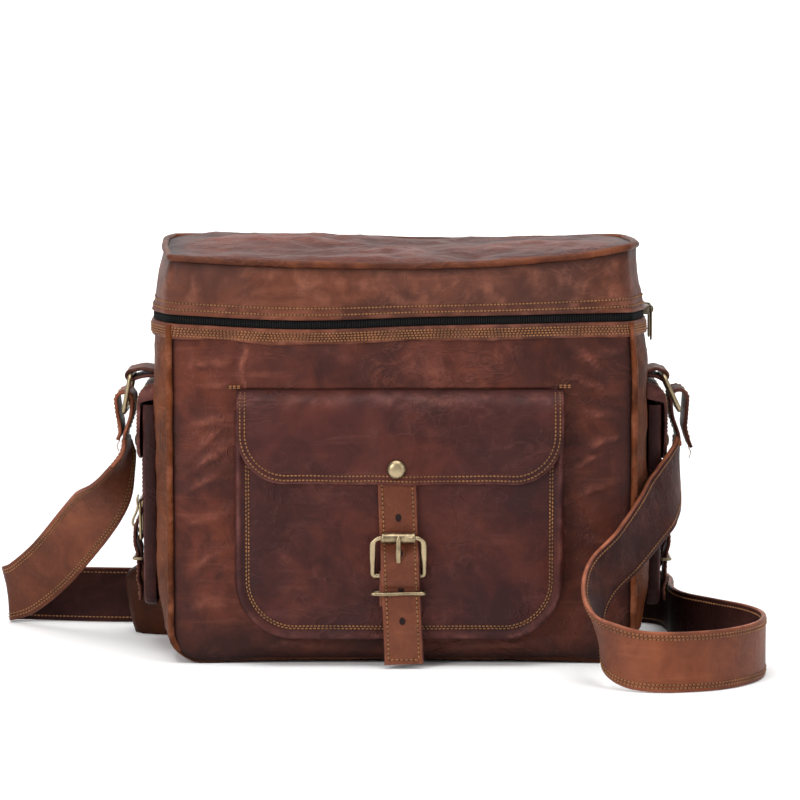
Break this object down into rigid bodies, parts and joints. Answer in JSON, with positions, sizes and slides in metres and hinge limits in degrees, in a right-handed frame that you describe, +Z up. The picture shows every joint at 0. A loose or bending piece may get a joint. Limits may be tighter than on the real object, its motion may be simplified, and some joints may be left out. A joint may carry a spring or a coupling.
{
  "type": "camera bag",
  "caption": "Padded leather camera bag with a zipped lid, buckled front and side pockets, ring tabs and a long shoulder strap.",
  "frame": {"origin": "middle of the base's flat underside, on the surface the bag stands on", "axes": "+Z up, -Y towards the front pocket, +X to the right as seen from the front"},
  "size_m": [0.5095, 0.2827, 0.266],
  "materials": {
    "body_leather": "waxed pull-up leather, crazed and rubbed lighter along folds",
    "pocket_leather": "waxed dark plum-brown leather",
    "gusset_leather": "waxed lighter orange-brown leather",
    "strap_leather": "tan-brown strap leather with stitched edges",
    "lining_fabric": "brushed dark lining over foam",
    "stiffener_board": "stiff fibre board",
    "zip_tape": "black woven zip tape with coil teeth",
    "antique_brass": "antique brass, darkened in its corners"
  },
  "bodies": {
    "root": {"front_panel": "body_leather", "back_panel": "body_leather", "front_yoke": "body_leather", "left_gusset": "gusset_leather", "right_gusset": "gusset_leather", "bottom_panel": "gusset_leather", "mouth_binding": "body_leather", "front_piping": "body_leather", "back_piping": "body_leather", "base_board": "stiffener_board", "liner_floor": "lining_fabric", "liner_front": "lining_fabric", "liner_back": "lining_fabric", "liner_left": "lining_fabric", "liner_right": "lining_fabric", "lid_hinge_strip": "body_leather", "lower_zip_half": "zip_tape", "front_pocket": "pocket_leather", "front_chape": "strap_leather", "left_pocket": "pocket_leather", "left_chape": "strap_leather", "right_pocket": "pocket_leather", "right_chape": "strap_leather", "shoulder_strap": "strap_leather"},
    "lid": {"lid_band": "gusset_leather", "lid_top": "body_leather", "lid_pad": "lining_fabric", "lid_piping": "body_leather", "upper_zip_half": "zip_tape"},
    "left_divider": {"left_divider": "lining_fabric"},
    "right_divider": {"right_divider": "lining_fabric"},
    "front_slider": {"front_zip_slider": "antique_brass"},
    "front_pull": {"front_zip_pull": "antique_brass"},
    "rear_slider": {"rear_zip_slider": "antique_brass"},
    "rear_pull": {"rear_zip_pull": "antique_brass"},
    "front_roller": {"front_buckle_roller": "antique_brass"},
    "front_flap": {"front_flap": "pocket_leather", "front_strap": "strap_leather", "front_rivet": "antique_brass"},
    "front_buckle": {"front_buckle_frame": "antique_brass"},
    "front_prong": {"front_buckle_prong": "antique_brass"},
    "front_keeper": {"front_keeper": "antique_brass"},
    "left_flap": {"left_flap": "pocket_leather", "left_strap": "strap_leather", "left_rivet": "antique_brass"},
    "left_buckle": {"left_buckle_frame": "antique_brass"},
    "left_prong": {"left_buckle_prong": "antique_brass"},
    "left_keeper": {"left_keeper": "antique_brass"},
    "left_tab": {"left_ring_tab": "gusset_leather"},
    "left_ring": {"left_ring": "antique_brass", "left_strap_loop": "strap_leather"},
    "right_flap": {"right_flap": "pocket_leather", "right_strap": "strap_leather", "right_rivet": "antique_brass"},
    "right_buckle": {"right_buckle_frame": "antique_brass"},
    "right_prong": {"right_buckle_prong": "antique_brass"},
    "right_keeper": {"right_keeper": "antique_brass"},
    "right_tab": {"right_ring_tab": "gusset_leather"},
    "right_ring": {"right_ring": "antique_brass", "right_strap_loop": "strap_leather"}
  },
  "joints": [
    {"name": "lid_hinge", "type": "hinge", "parent": "root", "child": "lid", "pos_m": [0, 0.0792, 0.2249], "axis": [-1, 0, 0], "range_deg": [0, 110], "deforming": ["lid_hinge_strip"]},
    {"name": "left_divider_slide", "type": "slide", "parent": "root", "child": "left_divider", "axis": [1, 0, 0], "range_m": [-0.025, 0.025]},
    {"name": "right_divider_slide", "type": "slide", "parent": "root", "child": "right_divider", "axis": [1, 0, 0], "range_m": [-0.025, 0.025]},
    {"name": "front_slider_slide", "type": "slide", "parent": "root", "child": "front_slider", "axis": [0, -1, 0], "range_m": [0, 0.033]},
    {"name": "front_pull_hinge", "type": "hinge", "parent": "front_slider", "child": "front_pull", "pos_m": [0.1664, -0.012, 0.2254], "axis": [0, -1, 0], "range_deg": [0, 100]},
    {"name": "rear_slider_slide", "type": "slide", "parent": "root", "child": "rear_slider", "axis": [0, 1, 0], "range_m": [0, 0.033]},
    {"name": "rear_pull_hinge", "type": "hinge", "parent": "rear_slider", "child": "rear_pull", "pos_m": [0.1664, 0.012, 0.2254], "axis": [0, -1, 0], "range_deg": [0, 100]},
    {"name": "front_flap_hinge", "type": "hinge", "parent": "root", "child": "front_flap", "pos_m": [0, -0.0801, 0.1789], "axis": [-1, 0, 0], "range_deg": [0, 115], "deforming": ["front_strap"]},
    {"name": "front_buckle_hinge", "type": "hinge", "parent": "root", "child": "front_buckle", "pos_m": [0, -0.0945, 0.0602], "axis": [1, 0, 0], "range_deg": [0, 45]},
    {"name": "front_prong_hinge", "type": "hinge", "parent": "front_buckle", "child": "front_prong", "pos_m": [0, -0.0945, 0.0602], "axis": [1, 0, 0], "range_deg": [0, 60]},
    {"name": "front_roller_spin", "type": "hinge", "parent": "front_buckle", "child": "front_roller", "pos_m": [0, -0.0974, 0.0849], "axis": [1, 0, 0], "continuous": true},
    {"name": "front_keeper_tilt", "type": "hinge", "parent": "root", "child": "front_keeper", "pos_m": [0, -0.0923, 0.0492], "axis": [-1, 0, 0], "range_deg": [-12, 12]},
    {"name": "left_flap_hinge", "type": "hinge", "parent": "root", "child": "left_flap", "pos_m": [-0.1613, 0, 0.1789], "axis": [0, 1, 0], "range_deg": [0, 65], "deforming": ["left_strap"]},
    {"name": "left_buckle_hinge", "type": "hinge", "parent": "root", "child": "left_buckle", "pos_m": [-0.17273, 0, 0.0725], "axis": [0, -1, 0], "range_deg": [0, 45]},
    {"name": "left_prong_hinge", "type": "hinge", "parent": "left_buckle", "child": "left_prong", "pos_m": [-0.17273, 0, 0.0725], "axis": [0, -1, 0], "range_deg": [0, 60]},
    {"name": "left_keeper_tilt", "type": "hinge", "parent": "root", "child": "left_keeper", "pos_m": [-0.1711, 0, 0.059], "axis": [0, 1, 0], "range_deg": [-12, 12]},
    {"name": "left_tab_hinge", "type": "hinge", "parent": "root", "child": "left_tab", "pos_m": [-0.1613, 0, 0.1789], "axis": [0, 1, 0], "range_deg": [0, 65], "deforming": ["left_ring_tab"]},
    {"name": "left_ring_swing", "type": "hinge", "parent": "left_tab", "child": "left_ring", "pos_m": [-0.1785, 0, 0.1815], "axis": [0, 1, 0], "range_deg": [-2, 60], "deforming": ["shoulder_strap"]},
    {"name": "right_flap_hinge", "type": "hinge", "parent": "root", "child": "right_flap", "pos_m": [0.1613, 0, 0.1789], "axis": [0, -1, 0], "range_deg": [0, 65], "deforming": ["right_strap"]},
    {"name": "right_buckle_hinge", "type": "hinge", "parent": "root", "child": "right_buckle", "pos_m": [0.17273, 0, 0.0725], "axis": [0, 1, 0], "range_deg": [0, 45]},
    {"name": "right_prong_hinge", "type": "hinge", "parent": "right_buckle", "child": "right_prong", "pos_m": [0.17273, 0, 0.0725], "axis": [0, 1, 0], "range_deg": [0, 60]},
    {"name": "right_keeper_tilt", "type": "hinge", "parent": "root", "child": "right_keeper", "pos_m": [0.1711, 0, 0.059], "axis": [0, -1, 0], "range_deg": [-12, 12]},
    {"name": "right_tab_hinge", "type": "hinge", "parent": "root", "child": "right_tab", "pos_m": [0.1613, 0, 0.1789], "axis": [0, -1, 0], "range_deg": [0, 65], "deforming": ["right_ring_tab"]},
    {"name": "right_ring_swing", "type": "hinge", "parent": "right_tab", "child": "right_ring", "pos_m": [0.172, 0, 0.1815], "axis": [0, -1, 0], "range_deg": [-2, 60], "deforming": ["shoulder_strap"]}
  ],
  "couplings": [
    {"joint": "left_tab_hinge", "follows": "left_flap_hinge", "ratio": 1},
    {"joint": "right_tab_hinge", "follows": "right_flap_hinge", "ratio": 1}
  ]
}
